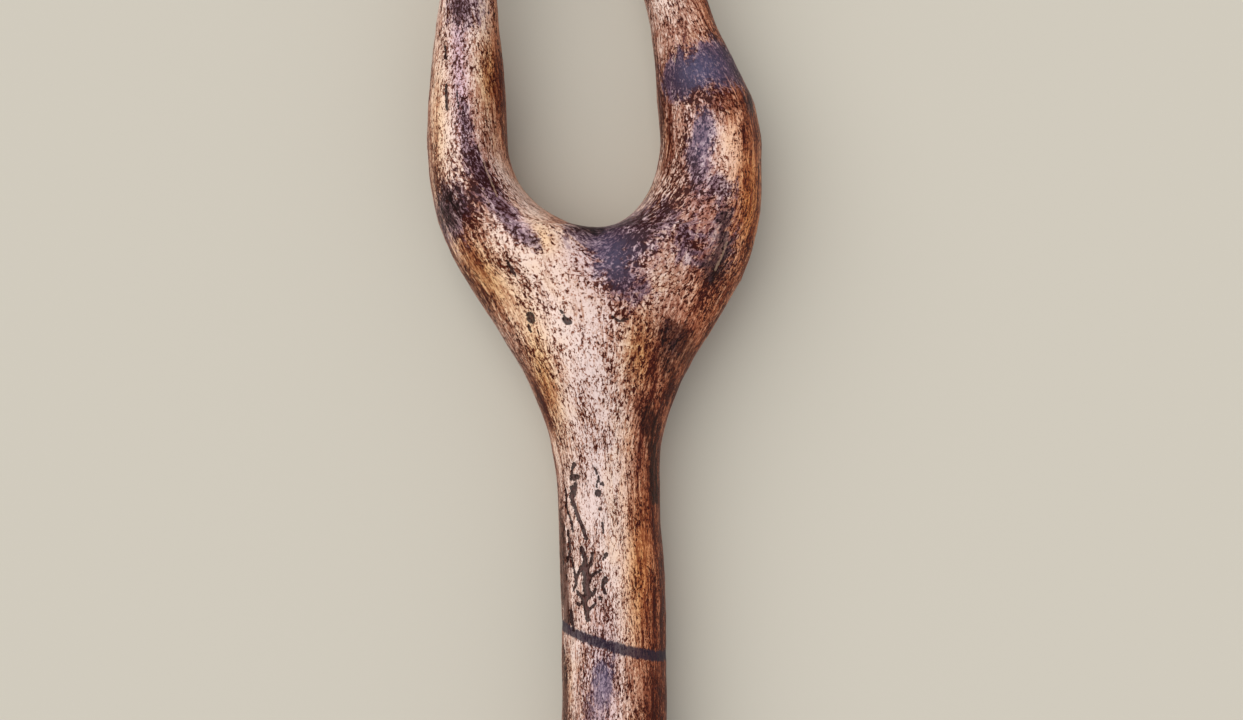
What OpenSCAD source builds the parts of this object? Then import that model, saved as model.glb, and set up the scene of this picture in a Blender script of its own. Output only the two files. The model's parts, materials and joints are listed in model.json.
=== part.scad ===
// Two-tined hay fork, grown and dressed from one forked branch.
//
// +X runs from the butt of the handle to the tips of the tines, +Y is to the left of a
// person holding the handle, and +Z is up, on the side of the hollow face that carries hay.
// The origin is the centre of the butt's flat face. The fork lies on its back, on the
// underside of its butt and of its crotch.
//
// Every piece is cut from one run of cross-sections, each in a plane of constant X. A
// section is two half rings, left and right. Up to the throat the halves meet along the
// heart line, and past the throat each half closes on itself and becomes a tine.

/* [Handle] */
// Length of the handle, from the butt to the crotch
handle_len = 1064; // [800:1:1400]
// Diameter of the handle
handle_d = 35.5; // [28:0.5:42]
// Diameter of the straight, round stretch that starts at the butt
grip_d = 36; // [29:0.5:44]
// Length of the straight, round stretch that starts at the butt
grip_len = 450; // [200:1:600]
// Radius worn on the edge of the butt
butt_round = 5; // [1:0.5:9]
// Sideways bow of the handle, to the right
handle_bow = 4; // [0:0.5:12]
// Upward bow of the handle
handle_rise = 3; // [0:0.5:12]
// Sideways place of the handle where it meets the crotch
handle_end_y = -2; // [-6:0.5:6]

/* [Crotch] */
// Length of the crotch, from the handle to the bottom of the throat
crotch_len = 136; // [110:1:200]
// Diameter at the neck, the slimmest place below the crotch
neck_d = 34.4; // [26:0.1:38]
// Distance from the neck to the bottom of the throat
neck_below_throat = 90; // [70:1:105]
// Thickness of the crotch, from its face to its back
crotch_depth = 41; // [34:0.5:60]
// Half width of the left shoulder, from the heart line
left_shoulder = 56.7; // [45:0.1:80]
// Half width of the right shoulder, from the heart line
right_shoulder = 54.3; // [45:0.1:80]
// Length over which the left side swells from neck to shoulder
left_swell = 121; // [90:1:150]
// Length over which the right side swells from neck to shoulder
right_swell = 108; // [90:1:150]

/* [Throat] */
// Sideways place of the bottom of the throat
throat_y = 4; // [-8:0.5:8]
// Half width of the throat on the left
throat_left = 29.7; // [18:0.1:34]
// Half width of the throat on the right
throat_right = 21; // [14:0.1:30]
// Depth of the round bottom of the throat
throat_depth = 29; // [20:1:45]
// Distance below the throat over which the two limbs grow together
saddle_len = 22; // [12:1:30]

/* [Tines] */
// Length of the tines, from the bottom of the throat to the tips
tine_len = 440; // [300:1:560]
// Width of the left tine above its root
left_tine_w = 19.6; // [14:0.1:26]
// Width of the right tine above its root
right_tine_w = 22.4; // [14:0.1:26]
// Width of both tines where the point begins
tip_w = 11; // [8:0.5:14]
// Length of the point
tip_len = 45; // [20:1:80]
// Sideways place of the left tip
left_tip_y = 82; // [50:1:120]
// Sideways place of the right tip
right_tip_y = -58; // [-110:1:-20]
// Height of the tips above the crotch's middle
tine_rise = 75; // [0:1:140]
// How far the left tine leans in before it turns out
left_lean = 4; // [0:0.5:10]
// How far the right tine leans in before it turns out
right_lean = 26; // [0:0.5:30]
// Distance past the shoulders at which the tines lean in the furthest
lean_at = 121; // [90:1:160]

/* [Hidden] */

left = 1;
right = -1;

handle_r = handle_d / 2;
grip_r = grip_d / 2;
neck_r = neck_d / 2;
throat_x = handle_len + crotch_len;
neck_x = throat_x - neck_below_throat;
shoulder_x = throat_x + throat_depth;
tip_x = throat_x + tine_len;
point_x = tip_x - tip_len;

// The crotch is thicker than the grip, and is lifted so that both backs lie on one plane.
crotch_z = crotch_depth / 2 - grip_r;

// The swept part of the handle is rooted this deep in the round grip. It is this much slimmer
// there in radius, and takes its own diameter over the length after the grip.
rooted = 6;
root_step = 0.25;
settle_len = 150;
// The handle narrows to the neck over the stretch from here to the neck.
narrowing_len = 70;
// The heart line moves from the handle's middle to the throat over this stretch.
heart_start = neck_x - 90;
heart_end = shoulder_x;
// The crotch thickens over the first length past the neck and thins again from its belly on.
thicken_len = 60;
belly_x = throat_x - 35;
thin_len = 105;
// A tine slims from the width of its root to its own width over this length.
left_root_len = 58;
right_root_len = 46;
// A tine is this much thicker than it is wide.
tine_flat = 1.06;
// The tip is left blunt: the point stops at this share of its full ellipse.
blunt = 0.97;

// Steps: columns in each quarter of a section, and rows along each stretch.
cols = 16;
handle_rows = 14;
neck_rows = 5;
swell_rows = 12;
saddle_rows = 7;
throat_rows = 9;
tine_rows = 30;
point_rows = 7;

function clamp(t) = min(max(t, 0), 1);
function mix(a, b, t) = a * (1 - t) + b * t;
function ease(t) = let (u = clamp(t)) u * u * u * (u * (6 * u - 15) + 10);
function hump(t) = pow(sin(180 * clamp(t)), 2);
// Rises from 0 to 1 at s = 1 and dies away slowly.
function swing(s) = s <= 0 ? 0 : pow(s * exp(1 - s), 2);
function pick(side, a, b) = side == left ? a : b;
function shoulder(side) = pick(side, left_shoulder, right_shoulder);
function throat(side) = pick(side, throat_left, throat_right);
function swell_len(side) = pick(side, left_swell, right_swell);

// Middle of the handle and crotch, sideways and in height.
function along_handle(x) = (x - grip_len) / (handle_len - grip_len);
function heart_y(x) =
    handle_end_y * ease(along_handle(x)) - handle_bow * hump(along_handle(x))
    + (throat_y - handle_end_y) * ease((x - heart_start) / (heart_end - heart_start));
function middle_z(x) =
    handle_rise * hump(along_handle(x)) + crotch_z * ease((x - neck_x) / thicken_len)
    + tine_rise * pow(max(x - shoulder_x, 0) / (tip_x - shoulder_x), 1.8);

// Radius of the handle, from the grip's to its own, narrowing to the neck.
function stem_r(x) =
    mix(
        mix(grip_r - root_step, handle_r, ease((x - grip_len) / settle_len)),
        neck_r,
        ease((x - neck_x + narrowing_len) / narrowing_len)
    );

// Half width of a limb from the heart line out, up to the shoulder.
function limb_reach(x, side) =
    mix(stem_r(x), shoulder(side), ease((x - neck_x) / swell_len(side)));

// Middle line and half width of a tine, past the shoulder.
function root_y(side) = throat_y + side * (shoulder(side) + throat(side)) / 2;
function root_hw(side) = (shoulder(side) - throat(side)) / 2;
function tine_y(x, side) =
    let (s = x - shoulder_x)
    root_y(side)
    - side * pick(side, left_lean, right_lean) * swing(s / lean_at)
    + (pick(side, left_tip_y, right_tip_y) - root_y(side)) * pow(s / (tip_x - shoulder_x), 1.5);
function tine_hw(x, side) =
    let (
        full = pick(side, left_tine_w, right_tine_w) / 2,
        slim = mix(full, tip_w / 2, clamp((x - shoulder_x) / (point_x - shoulder_x))),
        root_len = pick(side, left_root_len, right_root_len),
        nose = sqrt(1 - pow(blunt * clamp((x - point_x) / tip_len), 2))
    )
    nose * mix(root_hw(side), slim, ease((x - shoulder_x) / root_len));

// Outer and inner edge of a limb, sideways.
function outer_y(x, side) =
    x < shoulder_x ? heart_y(x) + side * limb_reach(x, side)
    : tine_y(x, side) + side * tine_hw(x, side);
function inner_y(x, side) =
    x <= throat_x ? heart_y(x)
    : x < shoulder_x
        ? heart_y(x) + side * throat(side) * sqrt(1 - pow((shoulder_x - x) / throat_depth, 2))
    : tine_y(x, side) - side * tine_hw(x, side);

// Half thickness of a limb at its crown, and where the two limbs meet.
function crown(x, side) =
    mix(
        mix(stem_r(x), crotch_depth / 2, ease((x - neck_x) / thicken_len)),
        tine_flat * tine_hw(max(x, shoulder_x), side),
        ease((x - belly_x) / thin_len)
    );
function waist(x) = (crown(x, left) + crown(x, right)) / 2;

// Share of the crown's thickness left at the heart line: 1 in the handle, 0 at the throat.
function web(x) = sqrt(1 - pow(1 - clamp((throat_x - x) / saddle_len), 2));

// Half a section: from the heart line over the top to the outer edge, and back underneath.
function half_ring(x, side) =
    let (
        last = asin(web(x)),
        outer = outer_y(x, side),
        inner = inner_y(x, side),
        crown = crown(x, side),
        waist = waist(x),
        z = middle_z(x)
    )
    [for (j = [-cols:cols])
        let (
            t = abs(j) / cols,
            a = mix(180, last, t),
            deep = mix(crown, waist, t) * sin(a)
        )
        [x, mix(outer, inner, (1 + cos(a)) / (1 + cos(last))), z + (j < 0 ? deep : -deep)]];

// Places of the rows, closer together where the throat and the points turn quickly.
function even(a, b, n) = [for (i = [0:n]) a + (b - a) * i / n];
handle_x = even(grip_len - rooted, handle_len, handle_rows);
crotch_x = concat(
    even(handle_len, neck_x, neck_rows),
    [for (i = [1:swell_rows]) mix(neck_x, throat_x - saddle_len, i / swell_rows)],
    [for (i = [1:saddle_rows]) throat_x - saddle_len * (1 - sin(90 * i / saddle_rows))],
    [for (i = [1:throat_rows]) throat_x + throat_depth * (1 - cos(90 * i / throat_rows))]
);
tine_x = concat(
    even(shoulder_x, point_x, tine_rows),
    [for (i = [1:point_rows]) point_x + tip_len * sin(90 * i / point_rows)]
);

// Faces of a half limb: a skin along its rows, and a cap of strips across each end.
width = 2 * cols + 1;
function skin(rows, base) = [
    for (i = [0:rows - 2], j = [0:width - 2])
        let (a = base + i * width + j)
        each [[a, a + 1, a + width + 1], [a, a + width + 1, a + width]]
];
function cap(base) = [
    for (j = [0:cols - 1])
        each [
            [base + cols - j, base + cols - j - 1, base + cols + j + 1],
            if (j > 0) [base + cols - j, base + cols + j + 1, base + cols + j]
        ]
];
function turned(faces) = [for (f = faces) [f[2], f[1], f[0]]];
function limb_faces(rows, base) =
    concat(skin(rows, base), cap(base), turned(cap(base + (rows - 1) * width)));
function limb_points(xs, side) = [for (x = xs) each half_ring(x, side)];

// One or both halves of the fork, between the first and last of the rows given.
module stretch(xs, sides) {
    rows = len(xs);
    polyhedron(
        points = [for (side = sides) each limb_points(xs, side)],
        faces = [
            for (k = [0:len(sides) - 1])
                let (faces = limb_faces(rows, k * rows * width))
                each sides[k] == left ? faces : turned(faces)
        ]
    );
}

// Straight, truly round lower handle, with a worn edge round its flat butt.
module grip() {
    rotate([0, 90, 0])
        rotate_extrude($fn = 96) {
            square([grip_r - butt_round, grip_len]);
            translate([0, butt_round]) square([grip_r, grip_len - butt_round]);
            translate([grip_r - butt_round, 0])
                intersection() {
                    square(butt_round);
                    translate([0, butt_round]) circle(r = butt_round, $fn = 48);
                }
        }
}

module handle() {
    color("peru") {
        grip();
        stretch(handle_x, [left, right]);
    }
}

module crotch() {
    color("burlywood") stretch(crotch_x, [left, right]);
}

module left_tine() {
    color("sienna") stretch(tine_x, [left]);
}

module right_tine() {
    color("chocolate") stretch(tine_x, [right]);
}

handle();
crotch();
left_tine();
right_tine();
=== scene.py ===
# %% [markdown]
# # A hay fork grown from one forked branch
# The real fork is one piece of wood. A young tree that forks was cut, its bark was taken off, the handle
# was rounded and the two limbs were thinned into tines. So this scene has one wooden piece, with no seam
# anywhere. It lies on its back on a pale floor, as a fork does when it is put down.

import json
import math

import bmesh
import bpy
import numpy as np
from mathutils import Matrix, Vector

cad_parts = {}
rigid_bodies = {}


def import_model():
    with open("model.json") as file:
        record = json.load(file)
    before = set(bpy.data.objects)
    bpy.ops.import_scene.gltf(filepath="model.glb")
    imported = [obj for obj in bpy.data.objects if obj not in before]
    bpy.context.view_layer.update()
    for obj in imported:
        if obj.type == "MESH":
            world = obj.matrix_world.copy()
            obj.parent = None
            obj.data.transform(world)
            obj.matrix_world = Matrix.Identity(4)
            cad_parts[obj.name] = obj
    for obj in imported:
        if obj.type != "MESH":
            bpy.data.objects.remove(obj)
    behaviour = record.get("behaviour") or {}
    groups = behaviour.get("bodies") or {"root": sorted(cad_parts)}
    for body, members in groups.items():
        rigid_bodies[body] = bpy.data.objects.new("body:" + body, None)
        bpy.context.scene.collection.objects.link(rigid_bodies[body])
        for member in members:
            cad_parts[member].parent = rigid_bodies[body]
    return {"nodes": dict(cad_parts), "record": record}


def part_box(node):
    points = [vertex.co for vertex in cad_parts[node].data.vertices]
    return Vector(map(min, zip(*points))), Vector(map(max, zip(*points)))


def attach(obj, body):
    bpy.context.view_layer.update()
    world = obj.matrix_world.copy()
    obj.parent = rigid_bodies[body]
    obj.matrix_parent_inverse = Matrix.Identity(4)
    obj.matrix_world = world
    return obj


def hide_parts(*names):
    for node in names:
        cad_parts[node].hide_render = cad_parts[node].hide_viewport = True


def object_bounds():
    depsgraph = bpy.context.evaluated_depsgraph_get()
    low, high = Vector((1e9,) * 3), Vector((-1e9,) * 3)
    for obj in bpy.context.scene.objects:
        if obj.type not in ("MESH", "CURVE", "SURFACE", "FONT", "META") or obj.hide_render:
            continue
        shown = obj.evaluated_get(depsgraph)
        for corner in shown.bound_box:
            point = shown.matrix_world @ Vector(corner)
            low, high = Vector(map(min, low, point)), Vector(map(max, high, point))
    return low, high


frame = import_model()
cad_low, cad_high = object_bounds()
MM = 0.001
print("the frame holds", ", ".join(sorted(frame["nodes"])))

# %% [markdown]
# ## Named places
# Every mark on the wood is placed from two of the frame's own places: the bottom of the throat, where the
# limbs part, and the end of the handle. X runs along the fork and Y across it.

# %% Read the places from the frame
handle_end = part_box("handle")[1].x
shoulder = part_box("crotch")[1].x
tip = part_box("left_tine")[1].x
floor_height = cad_low.z
throat = next(m for m in frame["record"]["mounts"] if m["name"] == "throat")["pos_m"]
throat_x, throat_y = throat[0], throat[1]
print(f"handle ends at {handle_end:.3f} m, throat at {throat_x:.3f} m, tips at {tip:.3f} m")


# %% [markdown]
# ## The branch: one skin over four solids
# The frame keeps handle, crotch and tines as separate solids for the simulator. The eye must see one
# piece of wood, so the four are copied and joined, and the walls where they meet are taken out. A voxel
# remesh then lays even squares over the whole branch. Sculpting by small steps needs that: long thin
# triangles would crease.

# %% Copy and join the solids
def select_only(*objects):
    bpy.ops.object.select_all(action="DESELECT")
    for o in objects:
        o.select_set(True)
    bpy.context.view_layer.objects.active = objects[0]


def apply_modifier(obj, kind, **settings):
    select_only(obj)
    modifier = obj.modifiers.new(kind.title(), kind)
    for key, value in settings.items():
        setattr(modifier, key, value)
    bpy.ops.object.modifier_apply(modifier=modifier.name)


select_only(*[frame["nodes"][n] for n in ("crotch", "handle", "left_tine", "right_tine")])
bpy.ops.object.duplicate()
bpy.ops.object.parent_clear(type="CLEAR_KEEP_TRANSFORM")
bpy.ops.object.join()
branch = bpy.context.object
branch.name = branch.data.name = "branch"
for key in [k for k in branch.keys() if k.startswith("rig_")]:
    del branch[key]
print("joined", len(branch.data.polygons), "faces")

# %% Take out the walls where the solids meet
SAME_POINT, ON_WALL, SEAM = 0.01 * MM, 0.02 * MM, 0.05 * MM
bpy.ops.object.mode_set(mode="EDIT")
bpy.ops.mesh.select_all(action="SELECT")
bpy.ops.mesh.remove_doubles(threshold=SAME_POINT)
bpy.ops.mesh.select_all(action="DESELECT")
bpy.ops.mesh.select_mode(type="FACE")
shell = bmesh.from_edit_mesh(branch.data)
for face in shell.faces:
    for plane in (handle_end, shoulder):
        if all(abs(v.co.x - plane) < ON_WALL for v in face.verts):
            face.select_set(True)
bmesh.update_edit_mesh(branch.data)
bpy.ops.mesh.delete(type="FACE")
bpy.ops.mesh.select_all(action="SELECT")
bpy.ops.mesh.remove_doubles(threshold=SEAM)
bpy.ops.object.mode_set(mode="OBJECT")
print("after the walls are out:", len(branch.data.polygons), "faces")

# %% Keep the joined solids as a pattern, and lay even squares over the branch
pattern = branch.copy()
pattern.data = branch.data.copy()
bpy.context.scene.collection.objects.link(pattern)
SQUARE = 2.7 * MM
apply_modifier(branch, "REMESH", mode="VOXEL", voxel_size=SQUARE, adaptivity=0.0)


def group(name, keep):
    """A vertex group of the points whose place passes the test."""
    chosen = branch.vertex_groups.new(name=name)
    chosen.add([v.index for v in branch.data.vertices if keep(v.co)], 1.0, "REPLACE")
    return name


INWARDS, OUTWARDS = 0.5, -0.53


def even_out(rounds, where):
    """Smooth without shrinking: each step inwards is followed by a slightly longer one outwards."""
    for _ in range(rounds):
        for factor in (INWARDS, OUTWARDS):
            apply_modifier(branch, "SMOOTH", factor=factor, iterations=1, vertex_group=where)


SHARP_END = 14 * MM
even_out(10, group("all but the tips", lambda co: co.x < tip - SHARP_END))
even_out(3, group("tips", lambda co: co.x >= tip - SHARP_END))
print("the skin has", len(branch.data.polygons), "squares of about", SQUARE / MM, "mm")


# %% [markdown]
# ## Natural unevenness
# A branch is never a true cylinder. Soft waves a few centimetres long come from its growth, and shallow
# ripples of about a centimetre are left by the draw knife that shaved it. Two Displace modifiers with
# cloud textures give both, each less than a millimetre up or down, so the fork keeps its measured size.

# %% Waves of growth and ripples of the draw knife
def ripple(name, length, depth):
    clouds = bpy.data.textures.new(name, "CLOUDS")
    clouds.noise_scale = length
    clouds.noise_depth = 1
    apply_modifier(
        branch, "DISPLACE", texture=clouds, texture_coords="LOCAL", strength=depth, mid_level=0.5
    )


ripple("growth waves", 38 * MM, 1.6 * MM)

# %% [markdown]
# ## Finer squares where they are needed
# Insect tunnels are one or two millimetres wide, so the face of the crotch and of the neck needs finer
# squares than the rest. So do the points of the tines and the worn edge of the butt, which the large
# squares cut short: there the new squares are drawn back onto the solids by a Shrinkwrap modifier.

# %% Subdivide the face and both ends
def subdivide(cuts, where):
    """Cut each square whose middle and normal pass the test into (cuts + 1) squared smaller ones."""
    bpy.ops.object.mode_set(mode="EDIT")
    bpy.ops.mesh.select_all(action="DESELECT")
    skin = bmesh.from_edit_mesh(branch.data)
    skin.normal_update()
    for face in skin.faces:
        face.select_set(where(face.calc_center_median(), face.normal))
    bmesh.update_edit_mesh(branch.data)
    bpy.ops.mesh.subdivide(number_cuts=cuts, smoothness=0.0)
    bpy.ops.object.mode_set(mode="OBJECT")
    print("after the subdivision:", len(branch.data.polygons), "faces")


FINE_FROM, FINE_TO = throat_x - 170 * MM, throat_x + 84 * MM
POINT, BUTT = tip - 24 * MM, 9 * MM
subdivide(3, lambda middle, normal: FINE_FROM < middle.x < FINE_TO and normal.z > 0.0)
subdivide(2, lambda middle, normal: middle.x > POINT or middle.x < BUTT)

# %% Draw the ends back onto the solids
ends = group("ends", lambda co: co.x > POINT or co.x < BUTT)
apply_modifier(branch, "SHRINKWRAP", target=pattern, wrap_method="NEAREST_SURFACEPOINT", vertex_group=ends)
even_out(2, ends)
bpy.data.objects.remove(pattern)


# %% Soften the new squares
def read(kind="vertices", field="co"):
    items = getattr(branch.data, kind)
    flat = np.empty(len(items) * 3, np.float32)
    items.foreach_get(field, flat)
    return flat.reshape(-1, 3).astype(np.float64)


def write(points):
    branch.data.vertices.foreach_set("co", points.astype(np.float32).ravel())
    branch.data.update()


even_out(12, group("fine", lambda co: FINE_FROM < co.x < FINE_TO))
ripple("knife ripples", 11 * MM, 0.55 * MM)


# %% [markdown]
# ## The run of the grain
# Wood fibres follow the limbs: they run straight up the handle, part at the crotch and bend into each
# tine. Every pattern that follows needs that direction. So each point is given three grain coordinates:
# how far it is along the fork, where it lies between the two edges of its limb, and how high it is above
# the limb's middle.

# %% Find the edges and the middle of each limb
points = read()
STEP = 3 * MM
rows = np.clip((points[:, 0] / STEP).astype(int), 0, int(tip / STEP))
count = rows.max() + 1


def smooth_rows(values, reach=4):
    kernel = np.ones(2 * reach + 1) / (2 * reach + 1)
    padded = np.concatenate([values[:1].repeat(reach), values, values[-1:].repeat(reach)])
    return np.convolve(padded, kernel, "valid")


def per_row(values, keep, pick):
    found = np.full(count, np.nan)
    for row in range(count):
        inside = values[keep & (rows == row)]
        if len(inside):
            found[row] = pick(inside)
    known = np.flatnonzero(~np.isnan(found))
    return smooth_rows(np.interp(np.arange(count), known, found[known]))


HANDLE_END_Y = -2 * MM
heart = np.where(
    points[:, 0] < throat_x,
    np.interp(points[:, 0], [0, handle_end, throat_x], [0, HANDLE_END_Y, throat_y]),
    throat_y,
)
is_left = points[:, 1] > heart
along = points[:, 0] / STEP - 0.5
centres = np.arange(count)


def at_points(row_values):
    return np.interp(along, centres, row_values)


HALF = 17 * MM
share = np.empty(len(points))
height = np.empty(len(points))
parted = points[:, 0] > throat_x
for left in (True, False):
    keep = is_left == left
    outer = at_points(per_row(points[:, 1], keep, np.max if left else np.min))
    inner = at_points(per_row(points[:, 1], keep, np.min if left else np.max))
    inner = np.where(parted, inner, heart)
    top = at_points(per_row(points[:, 2], keep, np.max))
    bottom = at_points(per_row(points[:, 2], keep, np.min))
    share = np.where(keep, (points[:, 1] - inner) / (outer - inner), share)
    height = np.where(keep, points[:, 2] - (top + bottom) / 2, height)
across = np.where(is_left, 1, -1) * share * HALF


def store(name, values, kind="FLOAT"):
    layer = branch.data.attributes.new(name, kind, "POINT")
    values = np.asarray(values, np.float32)
    layer.data.foreach_set("vector" if kind == "FLOAT_VECTOR" else "value", values.ravel())
    print(f"attribute {name}: {values.min():.3f} to {values.max():.3f}")


store("grain", np.stack([points[:, 0], across, height], 1), "FLOAT_VECTOR")

# %% [markdown]
# Hands and hay wear the crown of each limb pale and leave its flanks brown. The flanks also carry painted
# shade, where the round limb turns away from the light. On the right side of the handle, away from the light,
# the brown and its painted shade reach far up. On the crotch they are a narrow border, and inside the throat,
# where the tines shade each other's inner edges, narrower still. So each side has its own start, as a share
# of the way from the heart of the limb to its edge. Where the brown is reddest, which is on the right of the
# fork and inside the left tine, a second attribute, russet, is kept for the tint.

# %% Brown flanks and their painted shade
from_throat = (points[:, 0] - throat_x) / MM
left_start = np.interp(from_throat, [-150, -125, -60, -20, 60], [0.58, 0.78, 0.78, 0.66, 0.79])
right_start = np.interp(from_throat, [-90, -50, -10, 60], [0.34, 0.5, 0.66, 0.66])
outer_start = np.where(is_left, left_start, right_start)
INNER_START = 0.86
outer_flank = (share - outer_start) / (1 - outer_start)
inner_flank = np.where(parted, (1 - share - INNER_START) / (1 - INNER_START), -1)
# the flank share marks the wood's own brown and also painted shade where the limb turns away from the light,
# deepest on the right and inside the throat
store("flank", np.clip(np.maximum(outer_flank, inner_flank), -1, 1))
RUSSET_AHEAD = 0.4
store("russet", np.clip(np.where(is_left, inner_flank, outer_flank) + RUSSET_AHEAD, 0, 1))

# %% [markdown]
# ## Marks of age
# The face has marks at places of its own: bluish stains where wet iron wire lay, scorched brown patches,
# knots, the trace of a ring round the handle, and tunnels that bark beetles ate under the bark. Each is a
# soft spot or a line, placed in millimetres from the bottom of the throat: along the fork, then across it
# to the left.

# %% Spots and lines
face_points = np.stack([points[:, 0] - throat_x, points[:, 1]], 1) / MM
FULL_HEIGHT = 6 * MM
upper = np.clip(height / FULL_HEIGHT, 0, 1)
SOFTNESS = 0.7


def spot(along_mm, across_mm, half_length, half_width, tilt=0, strength=1.0):
    """A soft spot on the face: full strength in its middle, half at its edge."""
    turn = math.radians(tilt)
    dx = face_points[:, 0] - along_mm
    dy = face_points[:, 1] - across_mm
    a = (dx * math.cos(turn) + dy * math.sin(turn)) / half_length
    b = (dy * math.cos(turn) - dx * math.sin(turn)) / half_width
    return strength * upper * np.exp(-SOFTNESS * (a * a + b * b))


def line(width, *stops):
    """A soft line through the stops on the face: 1 along its middle, 0.5 at its edge."""
    nearest = np.full(len(face_points), 1e3)
    for start, end in zip(stops, stops[1:]):
        start, end = np.array(start, float), np.array(end, float)
        run = end - start
        t = np.clip(((face_points - start) @ run) / (run @ run), 0, 1)
        nearest = np.minimum(nearest, np.hypot(*(face_points - start - t[:, None] * run).T))
    return upper * np.exp(-SOFTNESS * (2 * nearest / width) ** 2)


def together(marks):
    """Marks that meet grow into one."""
    return 1 - np.prod([1 - m for m in marks], axis=0)


# %% Bluish stains left by wet iron
stains = together([
    # the left tine: a stain at its top, a thin streak, and a diagonal one down to the throat
    spot(71, 47, 8, 6, 0, 0.85),
    0.3 * line(3.4, (70, 48.8), (52, 48.8), (29, 46.5), (18, 42)),
    spot(44, 48, 8, 2.4, 0, 0.2), spot(29, 46, 8, 3, 8, 0.35), spot(16, 41, 8, 2.8, 25, 0.75),
    spot(4, 34, 8, 3, 35, 0.9), spot(-5, 26, 6, 2.6, 40, 0.8), spot(4, 51, 11, 6, -10, 0.85),
    # the right tine: a band across it and patches below
    spot(53, -33, 7, 8, 20, 1), spot(47, -23, 6, 6, 10, 1), spot(50, -41, 6, 5, 20, 0.8),
    spot(41, -47, 4, 2.5, 0, 0.6),
    spot(30, -31, 7, 3.2, 0, 1), spot(18, -28, 7, 2.8, 10, 1), spot(11, -36, 4, 4, 0, 0.9),
    # the right lobe
    spot(-3, -37, 12, 5, -8, 0.6), spot(-8, -26, 9, 7, 30, 0.5), spot(2, -17, 9, 6, 30, 0.55),
    # below the throat
    spot(-3, 6, 5, 10, 0, 0.8), spot(-2, -6, 7, 7, 20, 0.8), spot(-12, -1, 8, 7, 25, 0.75),
    spot(-22, -9, 8, 7, 40, 0.45),
    # the right shoulder and the handle
    spot(-39, -21, 6, 4, 30, 0.4),
    spot(-149, 2, 11, 4, 0, 0.8), spot(-160, 6, 8, 3, 0, 0.5),
])
# the bluest parts of the stains
iron = together([
    spot(50, -30, 7, 9, 20), spot(-10, 0, 9, 7, 30, 0.7),
    spot(28, -30, 8, 4, 0, 0.6), spot(-147, 2, 8, 4, 0, 0.7),
])
print("iron stains are placed")

# %% Scorched patches
scorched = together([
    spot(4, 52, 9, 5, -10, 0.7),
    spot(41, -46, 5, 2.5, 0, 0.9),
    spot(-38, -22, 7, 5, 30), spot(-36, -21, 5, 3, 30, 0.6), spot(-47, -19, 6, 3, 10, 0.8),
    spot(-64, -13, 6, 3.5, 10), line(3, (-72, -14), (-90, -15)),
    spot(-3, -37, 12, 3, -8, 0.8), spot(-14, -33, 6, 4, -8, 0.7),
    spot(-1, 6, 3, 9, 0, 0.8),
    line(4, (-94, 17), (-130, 14)), line(4, (-140, 16), (-166, 15)),
])
print("scorches are placed")

# %% [markdown]
# Two tints lie over the brown and cream without hiding the grain. Iron in the sap turns the wood violet
# round the stains, and thick old varnish turns it honey yellow along the borders, where nothing rubs it
# off.

# %% Violet and honey tints
violet = together([
    0.75 * line(5, (80, 49), (52, 48.8), (29, 46.5), (18, 42), (5, 34), (-4, 27)),
    spot(-10, 0, 12, 10, 30, 0.6), spot(20, -29, 20, 4, 0, 0.6), spot(-150, 2, 20, 4, 0, 0.6),
])
honey = together([
    spot(-42, -10, 12, 5), spot(-113, -10, 24, 4), spot(8, -46, 18, 4), spot(48, 39, 12, 3),
    spot(-16, 41, 16, 6, 35), spot(-50, 21, 18, 4, 15), spot(-5, 21, 6, 4, 40, 0.7),
    spot(30, 56, 20, 3, 0, 0.6),
])
print("tints are placed")

# %% [markdown]
# Bark beetles ate branching tunnels under the bark, one or two millimetres wide. When the bark came off,
# they lay open as grooves. They could be a bump, but real grooves catch the light from every side, so the
# same lines that colour them also sink the mesh. Knots and drying cracks are made the same way.

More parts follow.
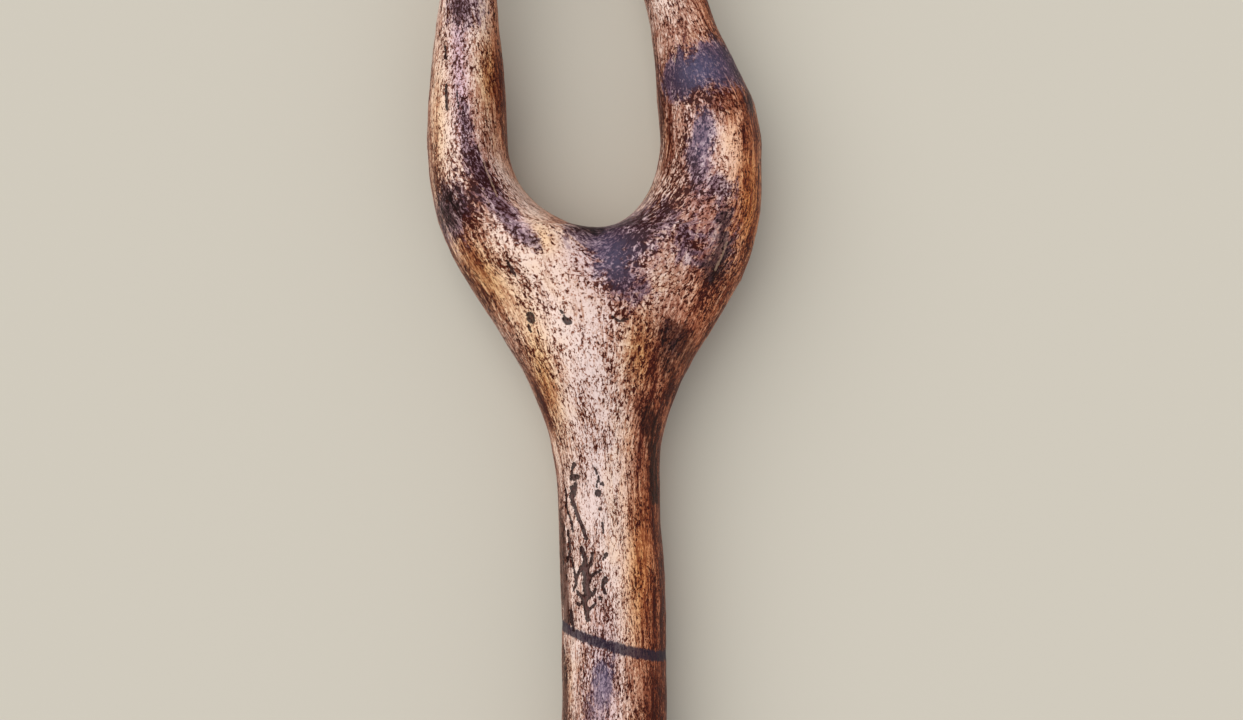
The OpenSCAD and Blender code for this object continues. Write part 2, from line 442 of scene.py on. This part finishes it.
# %% Knots, cracks and insect tunnels
tunnels = together([
    # the upper nest: pits, then one channel down to the left
    spot(-78, 11.6, 0.9, 0.8), spot(-82, 10.8, 0.9, 1.1), spot(-82.5, 12.8, 0.8, 0.6),
    spot(-86, 12, 1.4, 1.1),
    line(0.7, (-78, 11.6), (-80, 12.4), (-83, 11.8)), line(0.8, (-84, 11), (-88, 11.4), (-89, 13)),
    line(1.4, (-88, 12.8), (-91, 11.6), (-95, 10.4)), line(1.2, (-95, 10.4), (-98, 8.8), (-102, 7.6)),
    line(0.8, (-86, 14.6), (-93, 14), (-97, 12.4), (-100, 12)),
    # the branched nest below it
    line(1.5, (-105, 9.2), (-108.6, 7.8), (-112, 8.3)),
    line(2.6, (-112, 8), (-115, 7.2), (-117, 7.8), (-120, 7)),
    line(1.6, (-120, 7), (-122, 8.2), (-125, 7.6), (-128, 7)),
    line(1, (-106.5, 5.4), (-110, 6), (-112, 7.6)), line(0.9, (-112, 2.6), (-113, 4.8), (-115, 7)),
    line(0.8, (-108.6, 12.5), (-113.5, 11.4), (-117, 10.8), (-119, 12)),
    line(0.8, (-111, 9.2), (-116, 11.2)), line(1.2, (-119.5, 10.6), (-121, 9.2), (-121.5, 8)),
    line(0.9, (-122.5, 4.4), (-124.2, 5.8), (-125, 7)), line(1.1, (-114.5, 1.4), (-117, 2.2), (-119.3, 1.2)),
    spot(-115, 1, 0.9, 0.9), spot(-123.4, 10.2, 0.7, 1), line(1, (-106.5, 0.8), (-108.5, 2)),
    line(0.8, (-118, 4.4), (-120, 5.2)), spot(-121, 3, 0.6, 0.8),
    line(1.2, (-126, 12.6), (-132, 12)), line(0.9, (-100, 13.6), (-106, 13), (-110, 14)),
    # pits between the nests and the heart
    spot(-87, 3.6, 1.3, 1.1), line(0.7, (-79, 4.6), (-82, 3.4), (-85, 4.2)), spot(-84, 2.2, 0.8, 0.7),
    spot(-92, 3, 0.6, 0.5), line(0.7, (-96, 2.4), (-100, 1.8)),
    # knots and small cracks on the crotch
    spot(-30.4, 25.4, 2, 1.4, 10), line(0.8, (-33, 26.2), (-35, 25.4)), spot(-31.5, 13.4, 1.1, 1.9, -20),
    line(0.8, (-28, 15.6), (-29.5, 14.6)), line(0.8, (-30, -1), (-31.5, -3), (-31, -6)),
    line(0.9, (-12, 33), (-16, 31)), line(0.7, (-14, 31.6), (-17.5, 30)),
    # slits on the left tine
    line(0.8, (58, 53.6), (54, 53.2)), line(1, (45, 53), (37, 52.6)), line(0.7, (43, 49), (37.5, 48.8)),
])
print("tunnels, knots and cracks are placed")

# %% Scratches and the trace of a ring
scratches = together([
    line(0.8, (-5.9, -38), (-10, -36.6), (-15.3, -34.1)), line(0.6, (25, 42), (17, 39.4), (8.6, 36)),
    line(0.5, (34, 43.6), (29, 42.6)), line(0.5, (12, 41), (6, 38.4)), line(0.5, (-20, -38), (-26, -34.6)),
    line(0.5, (0, -29), (-6, -27.4)), line(0.5, (58, -22), (52, -21)),
])
RING_X, RING_SLANT, RING_HALF_WIDTH = throat_x - 136.2 * MM, 0.29, 1.5 * MM
ring_from = (points[:, 0] - RING_SLANT * points[:, 1] - RING_X) / RING_HALF_WIDTH
ring = np.exp(-SOFTNESS * ring_from**2)
print("scratches and the ring are placed")

# %% [markdown]
# The rest of the fork has the same kinds of marks, but no special place for them, so a seeded draw
# scatters patches along the handle, the tines and the back.

# %% Scatter patches over the rest
PATCHES, STAINS = 46, 24
FADE, BACK_FADE = 20 * MM, 4 * MM
draw = np.random.default_rng(11)
past_the_face = np.maximum(FINE_FROM - points[:, 0], points[:, 0] - FINE_TO) / FADE
plain = np.clip(np.maximum(past_the_face, -height / BACK_FADE), 0, 1)
scattered = []
for _ in range(PATCHES):
    centre = points[draw.choice(np.flatnonzero(plain > 0.5))]
    size = draw.uniform(6, 16) * MM
    stretch = np.array([1 / draw.uniform(1.5, 4), 1, 1])
    away = np.linalg.norm((points - centre) * stretch, axis=1)
    scattered.append(np.exp(-SOFTNESS * (away / size) ** 2) * plain)
stains = together([stains] + scattered[:STAINS])
scorched = together([scorched] + scattered[STAINS:])
print(len(scattered), "patches scattered")

# %% Cut the tunnels into the wood and store the marks
TUNNEL_DEPTH, RING_DEPTH = 0.75, 0.15
TUNNEL_EDGE, TUNNEL_SLOPE = 0.38, 0.36
normals = read("vertex_normals", "vector")
sink = TUNNEL_DEPTH * np.clip((tunnels - TUNNEL_EDGE) / TUNNEL_SLOPE, 0, 1) + RING_DEPTH * ring
write(points - normals * sink[:, None] * MM)
for name, mark in (
    ("stain", stains), ("scorch", scorched), ("iron", iron), ("violet", violet), ("honey", honey),
    ("tunnel", tunnels), ("scratch", scratches), ("ring", ring),
):
    store(name, mark)

# %% [markdown]
# Broad patches come last. Some places are rubbed pale, and some are washed with brown dirt. A painted
# lavender sheen, a painted reflection of the sky on the varnish, lies on the pale wood of the neck and of the
# crotch. They shift the tone of whatever grain lies there.

# %% Worn and washed places, and the painted sheen
# painted sheen: a lavender reflection of the sky on the varnish, painted on the pale crown of the neck and of
# the crotch
painted_sheen_spots = together([spot(-60, 6, 26, 6), spot(-80, 4, 30, 6), spot(-20, 5, 14, 9), spot(-140, 4, 18, 6)])
store("blush", painted_sheen_spots)
worn = together([
    spot(-8, 20, 10, 8), spot(20, -39, 9, 4), spot(30, 53, 20, 5), spot(-34, 16, 14, 9),
    spot(46, 49.5, 18, 3.5, 0, 0.8),
    spot(-115, -4, 30, 6), spot(-85, 2, 24, 8), spot(-160, -2, 20, 6, 0, 0.5),
])
washed = together([
    spot(-8, -27, 26, 12), spot(-42, -14, 18, 8, 15), spot(-62, -10, 24, 6, 8), spot(30, 40, 30, 4, -8),
    spot(-60, 22, 16, 4, -20), spot(38, -30, 9, 12), spot(-160, -10, 22, 6), spot(60, -25, 12, 8),
    spot(-100, -12, 22, 4), spot(-130, -14, 20, 5),
])
DIRT, WEAR = 0.3, 0.22
store("wash", DIRT * washed - WEAR * worn)

# %% The sawn face of the butt
SAWN_END, FACES_BACK, TURN = 12 * MM, 0.55, 0.35
store("sawn", np.clip((-normals[:, 0] - FACES_BACK) / TURN, 0, 1) * (points[:, 0] < SAWN_END))

# %% Shade it smooth
select_only(branch)
bpy.ops.object.shade_smooth()
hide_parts("handle", "crotch", "left_tine", "right_tine")
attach(branch, "root")
print("triangles:", sum(len(p.vertices) - 2 for p in branch.data.polygons))

# %% [markdown]
# ## The wood
# Old ash or hazel under varnish: cream and peach on the worn crown of each limb, orange-brown with dark
# streaks on its flanks, which also carry painted shade, and small dark pores everywhere. All these patterns
# read the grain coordinates, so they bend with the limbs.

# %% A small kit for wiring shader nodes
wood = bpy.data.materials.new("varnished_branch_wood")
wood.use_nodes = True
tree = wood.node_tree
tree.nodes.clear()


def add(kind, label="", inputs=None, **settings):
    node = tree.nodes.new(kind)
    node.label = label
    for key, value in settings.items():
        setattr(node, key, value)
    for key, value in (inputs or {}).items():
        socket = node.inputs[key]
        if isinstance(value, bpy.types.NodeSocket):
            tree.links.new(value, socket)
        else:
            socket.default_value = value
    return node


def attribute(name, output="Fac"):
    return add("ShaderNodeAttribute", name, attribute_name=name).outputs[output]


def math_node(operation, a, b=0.0):
    return add("ShaderNodeMath", "", {0: a, 1: b}, operation=operation).outputs[0]


def step(value, low, high, to_min=0.0, to_max=1.0):
    """A soft step: to_min up to low, to_max from high on."""
    span = {"Value": value, "From Min": low, "From Max": high, "To Min": to_min, "To Max": to_max}
    return add("ShaderNodeMapRange", "", span, interpolation_type="SMOOTHSTEP").outputs["Result"]


def mix(factor, a, b, blend="MIX"):
    # a Mix node has sockets for four kinds of value: 0, 6, 7 and output 2 are those of a colour
    colours = {0: factor, 6: a, 7: b}
    return add("ShaderNodeMix", "", colours, data_type="RGBA", blend_type=blend).outputs[2]


grain = attribute("grain", "Vector")


def noise(label, per_mm, detail=3.0, roughness=0.55, warp=0.0, vector=None, offset=0.0):
    """Noise in grain coordinates: per_mm is how many swells a millimetre holds, along and across."""
    swells_along, swells_across = per_mm[0] / MM, per_mm[1] / MM
    scaled = add(
        "ShaderNodeMapping", label,
        {"Vector": vector or grain, "Scale": (swells_along, swells_across, swells_across),
         "Location": (offset, 2 * offset, 0)},
    ).outputs[0]
    return add(
        "ShaderNodeTexNoise", label,
        {"Vector": scaled, "Scale": 1.0, "Detail": detail, "Roughness": roughness, "Distortion": warp},
    ).outputs["Fac"]


# %% Patterns of the wood
streak = noise("fine streaks", (0.06, 0.75), 6, 0.62, 0.3)
fibre = noise("fibres", (0.16, 2.4), 4, 0.65, 0.2, offset=1.0)
band = noise("broad streaks", (0.02, 0.22), 4, 0.6, 0.6, offset=3.0)
cloud = noise("cloudy tone", (0.05, 0.1), 5, 0.62, 0.4, offset=5.0)
ragged = noise("ragged edges", (0.16, 0.42), 7, 0.68, 0.8, offset=7.0)
crumbs = noise("crumbling edges", (0.9, 1.1), 3, 0.6, 0.0, offset=8.0)
pore_noise = noise("pores", (0.6, 1.7), 3, 0.62, 0.5, offset=9.0)
prick_noise = noise("pin pricks", (1.1, 2.6), 2, 0.6, 0.3, offset=10.0)
fleck_noise = noise("flecks", (0.28, 1.0), 5, 0.62, 0.8, offset=12.0)
grit = noise("grit", (0.6, 2.1), 2, 0.7, 0.6, offset=11.0)
crowd = noise("where pores crowd", (0.06, 0.13), 4, 0.55, 0.5, offset=15.0)
amber = noise("amber tint", (0.04, 0.09), 4, 0.6, 0.6, offset=18.0)


def times(a, b):
    return math_node("MULTIPLY", a, b)


def plus(*values):
    total = values[0]
    for value in values[1:]:
        total = math_node("ADD", total, value)
    return total


def swing(pattern, amount):
    """A pattern turned into a swing about zero."""
    return times(math_node("SUBTRACT", pattern, 0.5), amount)


# %% Masks
stain = attribute("stain")
flank = step(plus(attribute("flank"), swing(band, 1.5), swing(streak, 0.5)), 0.0, 0.55)
# painted shade: a darker border along the very edges of each limb, where the round wood turns away from the
# light
painted_edge_shade = step(attribute("flank"), 0.6, 1.0)
frayed = plus(swing(ragged, 1.7), swing(streak, 0.5), swing(crumbs, 0.6))
stain_mask = step(plus(stain, frayed), 0.25, 0.7)
scorch_mask = step(plus(attribute("scorch"), frayed), 0.25, 0.85)
pores = step(plus(pore_noise, times(crowd, 0.4), times(stain, 0.05)), 0.76, 0.82)
pricks = step(plus(prick_noise, times(crowd, 0.3), times(stain, 0.08)), 0.71, 0.76)
flecks = step(plus(fleck_noise, times(crowd, 0.35), times(stain, 0.06)), 0.72, 0.84)
tunnel = step(plus(attribute("tunnel"), swing(crumbs, 0.9)), 0.47, 0.58)
tunnel_floor = step(plus(attribute("tunnel"), swing(crumbs, 0.4)), 0.82, 0.98)
scratch = step(plus(attribute("scratch"), swing(crumbs, 1.6)), 0.5, 0.75)
ring_mask = step(plus(attribute("ring"), swing(ragged, 0.9), swing(crumbs, 0.6)), 0.22, 0.6)

# %% [markdown]
# How brown a point is comes first, as one number that streaks, flanks, pores and painted shade all add to.
# The flanks carry painted shade where the limb turns away from the light, and a painted dark border runs
# along the very edges. One ramp then turns it into colour, from cream over amber and russet to umber, so the
# tones pass into each other as in real wood.

# %% From brownness to colour
texture = plus(
    swing(streak, 1.3), swing(fibre, 1.1), swing(grit, 1.3), swing(crumbs, 0.4),
    times(flecks, 0.22), times(pores, 0.68), times(pricks, 0.58),
)
PALEST = 0.205
# the brown of the flanks: partly the wood's own colour, partly painted shade where the limb turns away from
# the light
flank_brown_and_shade = times(flank, plus(0.23, swing(band, 1.6)))
# the last term darkens the very edges of each limb as painted shade
brownness = plus(PALEST, texture, swing(cloud, 0.7), attribute("wash"), flank_brown_and_shade, times(painted_edge_shade, 0.14))


def colour(r, g, b):
    """An 8-bit display colour as the linear colour that a shader takes."""
    linear = [((c / 255 + 0.055) / 1.055) ** 2.4 if c > 10 else c / 255 / 12.92 for c in (r, g, b)]
    return (*linear, 1.0)


def tones(label, value, *stops):
    """A colour ramp from the stops: each is a place from 0 to 1 and a display colour."""
    ramp = add("ShaderNodeValToRGB", label, {"Fac": value})
    elements = ramp.color_ramp.elements
    while len(elements) < len(stops):
        elements.new(0.5)
    for element, (place, *tone) in zip(elements, stops):
        element.position, element.color = place, colour(*tone)
    return ramp.outputs["Color"]


body = tones(
    "wood tones", brownness,
    (0.0, 240, 212, 197), (0.2, 217, 184, 167), (0.38, 191, 146, 126),
    (0.56, 156, 103, 82), (0.76, 112, 58, 43), (1.0, 60, 13, 3),
)
print("the wood's tones run from cream to umber")

# %% [markdown]
# The tints multiply the tone below them, as thin coloured varnish does, so the grain stays. Stains have a
# ramp of their own, from mauve to near black, which the same texture runs through: dark fibres stay dark
# in a stain too.

# %% Tints, stains and marks
HONEY = colour(255, 234, 180)
RUSSET = colour(255, 214, 182)
VIOLET = colour(222, 204, 242)


def tinted(base, amount, tint):
    return mix(amount, base, mix(1.0, base, tint, "MULTIPLY"))


amber_patches = times(step(amber, 0.5, 0.68), 0.4)
body = tinted(body, math_node("MAXIMUM", amber_patches, attribute("honey")), HONEY)
body = tinted(body, attribute("russet"), RUSSET)
body = tinted(body, attribute("violet"), VIOLET)
stained = tones(
    "stain tones", plus(0.1, times(stain, 0.44), texture, swing(cloud, 0.7)),
    (0.0, 214, 188, 187), (0.22, 165, 134, 139), (0.45, 118, 90, 104),
    (0.7, 78, 52, 62), (1.0, 46, 12, 14),
)
SLATE = colour(92, 92, 124)
# the lavender of the painted sheen, a painted reflection of the sky
SHEEN_LAVENDER = colour(212, 190, 190)
SOOT = colour(100, 56, 42)
UMBER = colour(36, 15, 13)
INK = colour(40, 30, 46)
DUST = colour(66, 32, 30)
BARE = colour(226, 184, 152)
stained = mix(times(attribute("iron"), 0.7), stained, SLATE)
# the painted sheen is mixed in only where the wood is pale, on the crown, as a painted reflection of the sky
# on the varnish
pale = step(brownness, 0.45, 0.1)
body = mix(times(times(attribute("blush"), pale), 0.5), body, SHEEN_LAVENDER)
body = mix(times(stain_mask, 0.85), body, stained)
body = tinted(body, times(scorch_mask, 0.85), SOOT)
body = mix(times(ring_mask, 0.9), body, INK)
body = mix(times(tunnel, 0.92), body, mix(tunnel_floor, UMBER, DUST))
body = mix(times(scratch, 0.32), body, BARE)
print("stains, scorches, the ring, tunnels and scratches lie over the wood")

# %% [markdown]
# The sawn butt shows end grain: growth rings round a pith that sits off the middle, pulled out of true by
# noise, and a few drying cracks that run out from it. The distance from the pith drives the rings, and
# the angle the cracks.

# %% End grain of the butt
place = add("ShaderNodeTexCoord").outputs["Object"]
PITH = (0.0, 3 * MM, -2 * MM)
from_pith = add("ShaderNodeVectorMath", "from the pith", {0: place, 1: PITH}, operation="SUBTRACT").outputs[0]
split = add("ShaderNodeSeparateXYZ", "", {0: from_pith})
y_out, z_out = split.outputs["Y"], split.outputs["Z"]
radius = math_node("SQRT", plus(times(y_out, y_out), times(z_out, z_out)))
wobble = noise("ring wobble", (0.1, 0.12), 2, 0.5, vector=place)
RING_PITCH = 1.5 * MM
growth = math_node("FRACT", plus(times(radius, 1 / RING_PITCH), swing(wobble, 3.0)))
late_wood = times(step(growth, 0.35, 0.9), step(growth, 1.0, 0.93))
angle = math_node("ARCTAN2", z_out, y_out)
crack_noise = add(
    "ShaderNodeTexNoise", "cracks", {"W": plus(angle, times(wobble, 0.5)), "Scale": 2.6, "Detail": 3.0},
    noise_dimensions="1D",
).outputs["Fac"]
crack = times(step(crack_noise, 0.62, 0.68), step(radius, 15 * MM, 7 * MM))
DARKER_PER_METRE = 14.0
end_brown = plus(
    0.15, times(late_wood, 0.4), swing(cloud, 0.7), swing(crumbs, 0.5), times(radius, DARKER_PER_METRE),
    times(crack, 0.9),
)
end_grain = tones(
    "end grain tones", end_brown,
    (0.0, 196, 156, 112), (0.3, 164, 118, 76), (0.6, 112, 72, 42), (1.0, 44, 28, 20),
)
sawn = attribute("sawn")
body = mix(sawn, body, end_grain)
print("the butt has rings", RING_PITCH / MM, "mm apart")

# %% [markdown]
# The visible shape is in the mesh. A Bump node only adds what is finer than its squares: streaks and
# fibres stand a little proud, and pores, flecks and tunnels lie deeper. The varnish is old and thin, so
# its gloss is low and uneven.

# %% Relief and varnish
end_relief = times(sawn, plus(times(late_wood, 0.5), times(crack, -1.5)))
relief = plus(
    times(streak, 0.6), times(fibre, 0.3), times(pores, -0.5), times(flecks, -0.3), times(tunnel, -1.2),
    end_relief,
)
RELIEF_DEPTH = 0.4 * MM
bump = add("ShaderNodeBump", "relief", {"Height": relief, "Strength": 0.85, "Distance": RELIEF_DEPTH})
varnish = add(
    "ShaderNodeBsdfPrincipled", "varnish",
    {"Base Color": body, "Roughness": step(cloud, 0.3, 0.7, 0.38, 0.52), "Normal": bump.outputs[0],
     "Specular IOR Level": 0.08, "Coat Weight": 0.08, "Coat Roughness": 0.15},
)
add("ShaderNodeOutputMaterial", "", {"Surface": varnish.outputs[0]})
branch.data.materials.clear()
branch.data.materials.append(wood)
print("the wood has", len(tree.nodes), "nodes")

# %% [markdown]
# ## Floor, light and camera
# A plain pale floor lies right under the fork. A fork is long, so lamps near it would leave pools of
# light. Two wide, distant lights are even along its whole length: a strong one from the upper left and a
# weak one from the right.

# %% Floor
FLOOR_SIZE, CLEAR = 80, 0.3 * MM
bpy.ops.mesh.primitive_plane_add(size=FLOOR_SIZE, location=(tip / 2, 0, floor_height - CLEAR))
floor = bpy.context.object
floor.name = "floor"
floor_paint = bpy.data.materials.new("floor_paint")
floor_paint.use_nodes = True
floor_shader = floor_paint.node_tree.nodes["Principled BSDF"]
floor_shader.inputs["Base Color"].default_value = colour(198, 190, 175)
floor_shader.inputs["Roughness"].default_value = 0.9
floor.data.materials.append(floor_paint)
print("the floor lies at", round(floor.location.z / MM, 1), "mm")

# %% Light
def soft_sun(name, towards, strength, spread):
    """A far, wide light: spread is how many degrees of sky it fills, so its shadows are soft everywhere."""
    light = bpy.data.lights.new(name, "SUN")
    light.energy, light.angle = strength, math.radians(spread)
    lamp = bpy.data.objects.new(name, light)
    bpy.context.scene.collection.objects.link(lamp)
    lamp.rotation_euler = Vector(towards).to_track_quat("-Z", "Y").to_euler()


soft_sun("sky from the upper left", (-0.45, -0.6, -1), 2.2, 70)
soft_sun("fill from the right", (0.5, 0.8, -0.9), 0.5, 90)
world = bpy.data.worlds.new("soft surround")
bpy.context.scene.world = world
world.use_nodes = True
surround = world.node_tree.nodes["Background"]
surround.inputs["Color"].default_value = (0.9, 0.95, 1.0, 1.0)
surround.inputs["Strength"].default_value = 0.5
bpy.context.scene.view_settings.view_transform = "Standard"
print("two soft suns and a pale surround light the fork")

# %% [markdown]
# The camera looks straight down at the crotch, with the tines towards the top of the picture. Its height
# follows from the width that it should see: a lens sees a width in the same proportion to its distance as
# its sensor to its focus.

# %% Camera
target = Vector((throat_x - 44 * MM, -4 * MM, 5 * MM))
VIEW_WIDTH = 410 * MM
lens = bpy.data.cameras.new("camera")
lens.lens, lens.sensor_width = 50, 36
lens.clip_start = 0.01
camera = bpy.data.objects.new("camera", lens)
bpy.context.scene.collection.objects.link(camera)
camera.location = target + Vector((0, 0, VIEW_WIDTH * lens.lens / lens.sensor_width))
camera.rotation_euler = (0, 0, -math.pi / 2)
bpy.context.scene.camera = camera
print("the camera hangs", round(camera.location.z, 3), "m up")
